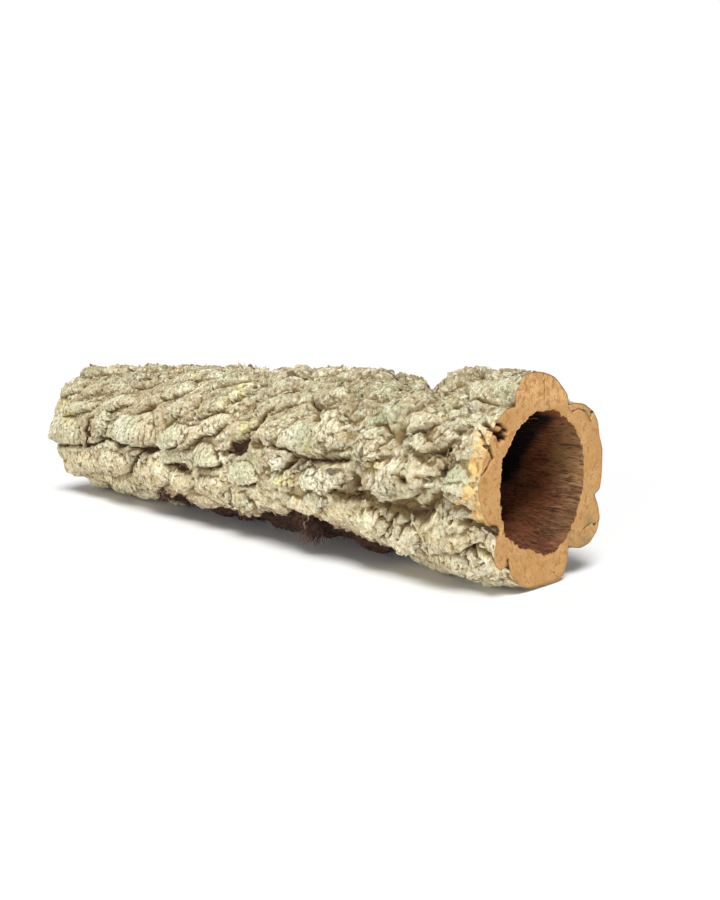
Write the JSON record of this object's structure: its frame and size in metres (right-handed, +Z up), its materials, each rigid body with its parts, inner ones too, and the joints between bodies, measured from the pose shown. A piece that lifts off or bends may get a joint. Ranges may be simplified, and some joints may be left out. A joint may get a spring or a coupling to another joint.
{
  "type": "cork bark tube",
  "caption": "Hollow length of cork branch: thick plated bark round an open bore, sawn square at both ends, lying on its side.",
  "frame": {"origin": "on the surface the tube lies on, under the middle of its box", "axes": "+X along the tube towards the sawn end that the picture shows, +Z up, +Y towards the tube's back"},
  "size_m": [0.494, 0.1228, 0.1209],
  "materials": {
    "cork_bark": "dry rough cork bark, cream grey with lichen; sawn faces orange tan; inside dark red-brown"
  },
  "bodies": {
    "root": {"cork_tube": "cork_bark"}
  },
  "joints": []
}
